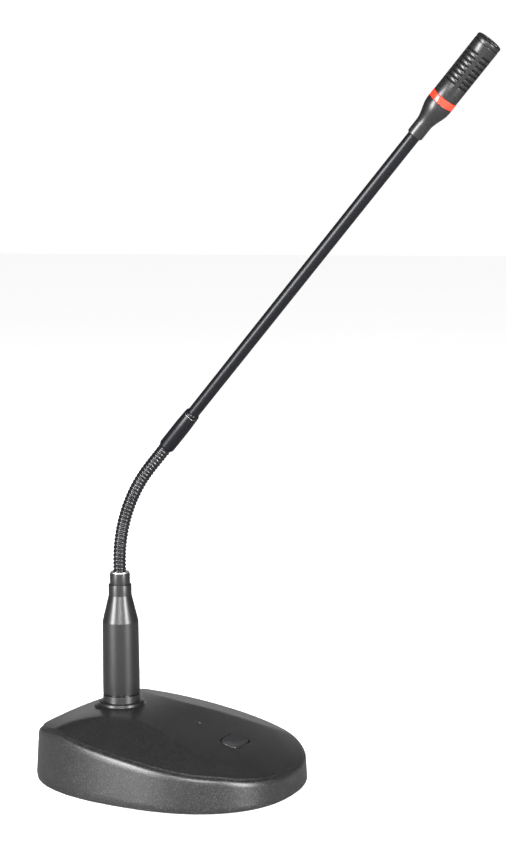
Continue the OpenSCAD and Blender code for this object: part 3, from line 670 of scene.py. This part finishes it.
LINKS = 7
LINK_LENGTH = BEND_R * (LEAN / LINKS)
RIB_PITCH = 2.2
RINGS_PER_RIB = 14
CORE_R = 3.05
WIRE_HEIGHT = 0.65
WIRE_HALF = 0.38
FILLER_HEIGHT = 0.2
FILLER_HALF = 0.1
ROOT_START = -3


def neck_frame(s):
    """The place on the neck's centre line, s millimetres up from the ferrule."""
    if s <= LEAD:
        return Matrix.Translation((0, SOCKET_Y, NECK_BASE + s))
    angle = min((s - LEAD) / BEND_R, LEAN)
    spot = Vector((0, SOCKET_Y - BEND_R * (1 - math.cos(angle)), BEND_BASE + BEND_R * math.sin(angle)))
    beyond = max(0, s - LEAD - BEND_R * LEAN)
    return Matrix.Translation(spot) @ Matrix.Rotation(angle, 4, "X") @ Matrix.Translation((0, 0, beyond))


def rib_radius(s, angle):
    """Outer radius of the wound tube: a round wire with a fine filler wire in each gap."""
    phase = (s / RIB_PITCH + angle / math.tau) % 1
    wire = max(0, 1 - ((phase - 0.5) / WIRE_HALF) ** 2) ** 0.5
    filler = max(0, 1 - (min(phase, 1 - phase) / FILLER_HALF) ** 2) ** 0.5
    return CORE_R + max(WIRE_HEIGHT * wire, FILLER_HEIGHT * filler)


def neck_piece(name, start, end):
    rings = round((end - start) / RIB_PITCH * RINGS_PER_RIB)
    heights = [start + (end - start) * k / rings for k in range(rings + 1)]
    bm = spun([(0, start)] + [(3, s) for s in heights] + [(0, end)], 40)
    for vert in bm.verts:
        s = vert.co.z
        angle = math.atan2(vert.co.y, vert.co.x)
        radius = rib_radius(s, angle) if math.hypot(vert.co.x, vert.co.y) > 1 else 0
        vert.co = neck_frame(s) @ Vector((radius * math.cos(angle), radius * math.sin(angle), 0))
    return finish_mesh(name, bm, sharp=70)


def make_neck():
    for k in range(LINKS + 1):
        joint = LEAD + LINK_LENGTH * k
        start = ROOT_START if k == 0 else joint - LINK_LENGTH / 2
        end = joint + (LINK_LENGTH / 2 if k < LINKS else COUPLING_S + 1)
        piece = neck_piece("neck_coil_%d" % (k + 1), start, end)
        piece.data.materials.append(neck_dark)
        stands_for = ["neck_root"] if k == 0 else ["neck_link_%d" % k]
        if k == LINKS:
            stands_for.append("neck_tip")
        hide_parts(*stands_for)
        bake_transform(piece)


make_neck()


# ---- Coupling and arm tube ----

TUBE_R = 3.4
TUBE_BORE_R = 2.6
COUPLING_R = 4.5
COUPLING_TOP_R = 4.2
SEAM_S = COUPLING_L - 2.3
SEAM_HALF = 0.08
AT_COUPLING = ARM @ Matrix.Translation((0, 0, COUPLING_S))


def make_coupling():
    """The sleeve over the joint of neck and tube, with a fine seam near its top, filled by a bright ring as
    a painted highlight.
    """
    below = SEAM_S - SEAM_HALF
    above = SEAM_S + SEAM_HALF
    corners = [(3.5, 0, 0), (4.0, 0, 0.3), (COUPLING_R, 1.3, 0.8), (COUPLING_R, COUPLING_L * 0.6, 6),
               (COUPLING_TOP_R + 0.05, below, 0.1), (COUPLING_TOP_R - 0.12, below, 0),
               (COUPLING_TOP_R - 0.12, above, 0), (COUPLING_TOP_R + 0.02, above, 0.1),
               (COUPLING_TOP_R - 0.05, COUPLING_L - 0.9, 0.5), (COUPLING_TOP_R - 0.5, COUPLING_L, 0.3),
               (3.3, COUPLING_L, 0)]
    coupling = lathe("coupling_sleeve", corners, AT_COUPLING)
    settle(coupling, "arm", tube_black, ("tube_coupling",))
    # A bright nickel ring filling the seam's groove: a painted highlight along the seam
    corners = [(3.9, below, 0), (COUPLING_TOP_R - 0.02, below, 0.06), (COUPLING_TOP_R - 0.02, above, 0.06),
               (3.9, above, 0), (3.9, below, 0)]
    seam = lathe("coupling_seam_highlight", corners, AT_COUPLING)
    settle(seam, "arm", bright_nickel)


def make_tube():
    lower = COUPLING_S + COUPLING_L - 6
    upper = HEAD_S + 4
    corners = [(TUBE_BORE_R, lower, 0), (TUBE_R, lower, 0), (TUBE_R, upper, 0), (TUBE_BORE_R, upper, 0),
               (TUBE_BORE_R, lower, 0)]
    tube = lathe("tube_shaft", corners, ARM, 64)
    settle(tube, "arm", tube_black, ("arm_tube",))


make_coupling()
make_tube()


# ---- Head, with heights measured from its foot ----

HEAD_R = 7.0
BODY_R = 6.9
FOOT_R = 4.3
FERRULE_L = 7
FLARE_L = 14.5
RING_L = 3.5
BODY_L = 32.7
CAP_L = 2.5
RING_S = FERRULE_L + FLARE_L
BODY_S = RING_S + RING_L
CAP_S = BODY_S + BODY_L
SLOT_COUNT = 8
SLOT_TURN = -17
SLOT_PITCH = 2.59
SLOT_W = 1.1
SLOT_MARGIN = 4.95
SLOT_HALF_ANGLE = 36.1
SLOTS_S = CAP_S - SLOT_MARGIN - SLOT_W - (SLOT_COUNT - 1) * SLOT_PITCH
FLARE_STEPS = 20
SCREEN_R = 5.75
CAP_OPENING_R = 5.2
BAR_PITCH = 1.45
BAR_W = 0.75


def make_flare():
    points = rounded([(3.42, 0, 0), (3.75, 0, 0.2), (FOOT_R, 0.8, 0.3), (FOOT_R, FERRULE_L, 0)])
    for k in range(1, FLARE_STEPS + 1):
        share = k / FLARE_STEPS
        swell = (1 - math.cos(math.pi * share)) / 2
        points.append((FOOT_R + (HEAD_R - FOOT_R) * swell, FERRULE_L + 0.05 + (FLARE_L - 1.6) * share))
    points += rounded([(HEAD_R, RING_S - 1, 0), (HEAD_R, RING_S - 0.03, 0.15), (FOOT_R, RING_S - 0.03, 0)])
    flare = finish_mesh("flare_body", spun(points), HEAD, 20)
    settle(flare, "arm", head_paint, ("head_flare",))


def make_light_ring():
    ring_r = HEAD_R + 0.02
    corners = [(FOOT_R, RING_S, 0), (ring_r, RING_S, 0.2), (ring_r, BODY_S, 0.2), (FOOT_R, BODY_S, 0),
               (FOOT_R, RING_S, 0)]
    ring = lathe("light_band", corners, HEAD)
    settle(ring, "arm", ring_red, ("light_ring",))


def in_slot(angle, s):
    """True where a slot opens the head's wall; the slots stand in four rows round it."""
    row_angle = (math.degrees(angle) - SLOT_TURN + 45) % 90 - 45
    step = (s - SLOTS_S) / SLOT_PITCH
    return abs(row_angle) < SLOT_HALF_ANGLE and -0.01 < step < SLOT_COUNT and step % 1 < SLOT_W / SLOT_PITCH


def make_head_body():
    heights = [BODY_S + 0.03, BODY_S + 0.2]
    for k in range(SLOT_COUNT):
        heights += [SLOTS_S + k * SLOT_PITCH, SLOTS_S + k * SLOT_PITCH + SLOT_W]
    heights += [CAP_S - 0.25, CAP_S]
    points = [(BODY_R - 0.15, heights[0])] + [(BODY_R, h) for h in heights[1:-1]] + [(BODY_R - 0.2, CAP_S)]
    bm = spun(points, 160)
    turn = Matrix.Rotation(math.radians(SLOT_TURN), 3, "Z")
    bmesh.ops.rotate(bm, verts=bm.verts, cent=(0, 0, 0), matrix=turn)
    holes = []
    for face in bm.faces:
        middle = face.calc_center_median()
        if in_slot(math.atan2(middle.y, middle.x), middle.z):
            holes.append(face)
    bmesh.ops.delete(bm, geom=holes, context="FACES")
    bmesh.ops.solidify(bm, geom=bm.faces[:], thickness=1.0)
    bmesh.ops.recalc_face_normals(bm, faces=bm.faces)
    rims = [e for e in bm.edges if len(e.link_faces) == 2 and e.calc_face_angle(0) > 1.2
            and all(math.hypot(v.co.x, v.co.y) > BODY_R - 0.1 for v in e.verts)]
    bmesh.ops.bevel(bm, geom=rims, offset=0.13, segments=2, profile=0.5, affect="EDGES", material=-1)
    body = finish_mesh("head_grille", bm, HEAD)
    settle(body, "arm", head_paint, ("head_body",))


def make_head_inside():
    """The cloth behind the slots, and the spigot that carries ring and body on the flare."""
    corners = [(5.3, BODY_S + 3, 0), (SCREEN_R, BODY_S + 3, 0), (SCREEN_R, CAP_S, 0), (5.3, CAP_S, 0),
               (5.3, BODY_S + 3, 0)]
    liner = lathe("grille_liner", corners, HEAD)
    settle(liner, "arm", slot_black, ("wind_screen",))
    corners = [(3.3, RING_S - 4, 0), (4.2, RING_S - 4, 0), (4.2, BODY_S + 0.1, 0), (6.5, BODY_S + 0.1, 0),
               (6.5, BODY_S + 2, 0), (3.3, BODY_S + 2, 0), (3.3, RING_S - 4, 0)]
    spigot = lathe("head_spigot", corners, HEAD)
    settle(spigot, "arm", head_paint)


def make_end_cap():
    top = CAP_S + CAP_L
    corners = [(CAP_OPENING_R, CAP_S - 1.2, 0), (5.85, CAP_S - 1.2, 0), (5.85, CAP_S + 0.05, 0),
               (BODY_R - 0.4, CAP_S + 0.05, 0), (BODY_R - 0.4, CAP_S + 0.3, 0), (BODY_R, CAP_S + 0.45, 0.12),
               (BODY_R, top - 0.2, 0.65), (CAP_OPENING_R, top, 0.3), (CAP_OPENING_R, CAP_S - 1.2, 0)]
    cap = lathe("cap_rim", corners, HEAD)
    settle(cap, "arm", head_paint, ("end_cap",))
    bm = bmesh.new()
    for k in range(-3, 4):
        x = k * BAR_PITCH
        half = math.sqrt(CAP_OPENING_R ** 2 - x ** 2)
        made = bmesh.ops.create_cube(bm, size=1)["verts"]
        bmesh.ops.scale(bm, vec=(BAR_W, 2 * half, 0.9), verts=made)
        bmesh.ops.translate(bm, vec=(x, 0, top - 0.75), verts=made)
    bmesh.ops.bevel(bm, geom=bm.edges[:], offset=0.12, segments=2, profile=0.5, affect="EDGES", material=-1)
    bars = finish_mesh("cap_bars", bm, HEAD)
    settle(bars, "arm", head_paint)
    corners = [(0, top - 1.9, 0), (5.4, top - 1.9, 0), (5.4, top - 1.4, 0), (0, top - 1.4, 0)]
    cloth = lathe("cap_cloth", corners, HEAD)
    settle(cloth, "arm", slot_black)


make_flare()
make_light_ring()
make_head_body()
make_head_inside()
make_end_cap()


# ---- Floor and studio light ----

ROOM_DIFFUSE = 0.6
ROOM_GLOSSY = 0.08
FLOOR_GLOSSY = (0.22, 0.22, 0.22, 1)
FLOOR_GLOW = 0.45
FLOOR_HALF = 12000
LIGHT_AIM = Vector((0, -0.03, 0.15))

# Each softbox: its name, its direction, and its distance, height, width, tallness and power
SOFTBOXES = (
    ("left_softbox", (-0.92, 0.39), 1.3, 0.4, 0.42, 0.76, 42),
    ("right_softbox", (-0.26, -0.966), 1.3, 0.4, 0.34, 0.76, 36),
    ("front_softbox", (-0.8916, -0.4527), 1.5, 0.72, 0.7, 0.32, 32),
    ("back_softbox", (0.92, 0.39), 1.3, 0.22, 1.0, 0.25, 1.1),
)


def add_floor():
    """A pale sweep that is dimmer in reflections, as a table with black flags round it is."""
    bm = bmesh.new()
    bmesh.ops.create_grid(bm, x_segments=1, y_segments=1, size=FLOOR_HALF)
    floor = finish_mesh("floor", bm, Matrix.Translation((0, 0, -0.05)))
    pale = finish("floor_pale", (0.9, 0.9, 0.9), (0.92, 0.92, 0.92), (0.8, 0.85), grain=200, cloud=2,
                  emission=(1, 1, 1))
    tree = pale.node_tree
    shader = tree.nodes["Principled BSDF"]
    glossy = tree.nodes.new("ShaderNodeLightPath").outputs["Is Glossy Ray"]
    tone = shader.inputs["Base Color"].links[0].from_socket
    tree.links.new(mix_colours(tree, glossy, tone, FLOOR_GLOSSY), shader.inputs["Base Color"])
    tree.links.new(mix_numbers(tree, glossy, FLOOR_GLOW, 0), shader.inputs["Emission Strength"])
    floor.data.materials.append(pale)


def add_world():
    """A white room that is dimmer in reflections, as a studio with black flags round a white sweep is."""
    world = bpy.data.worlds.new("studio")
    world.use_nodes = True
    tree = world.node_tree
    background = tree.nodes["Background"]
    ray = tree.nodes.new("ShaderNodeLightPath")
    room = mix_numbers(tree, ray.outputs["Is Glossy Ray"], ROOM_DIFFUSE, ROOM_GLOSSY)
    seen = mix_numbers(tree, ray.outputs["Is Camera Ray"], room, 1)
    tree.links.new(seen, background.inputs["Strength"])
    background.inputs["Color"].default_value = (1, 1, 1, 1)
    scene.world = world


def add_softbox(name, toward, distance, height, width, tall, watts):
    data = bpy.data.lights.new(name, "AREA")
    data.shape = "RECTANGLE"
    data.size = width
    data.size_y = tall
    data.energy = watts
    lamp = bpy.data.objects.new(name, data)
    lamp.visible_camera = False
    spot = Vector((toward[0] * distance, toward[1] * distance, height))
    turn = (LIGHT_AIM - spot).to_track_quat("-Z", "Y").to_matrix().to_4x4()
    lamp.matrix_world = Matrix.Translation(spot) @ turn
    scene.collection.objects.link(lamp)


add_floor()
add_world()
for softbox in SOFTBOXES:
    add_softbox(*softbox)
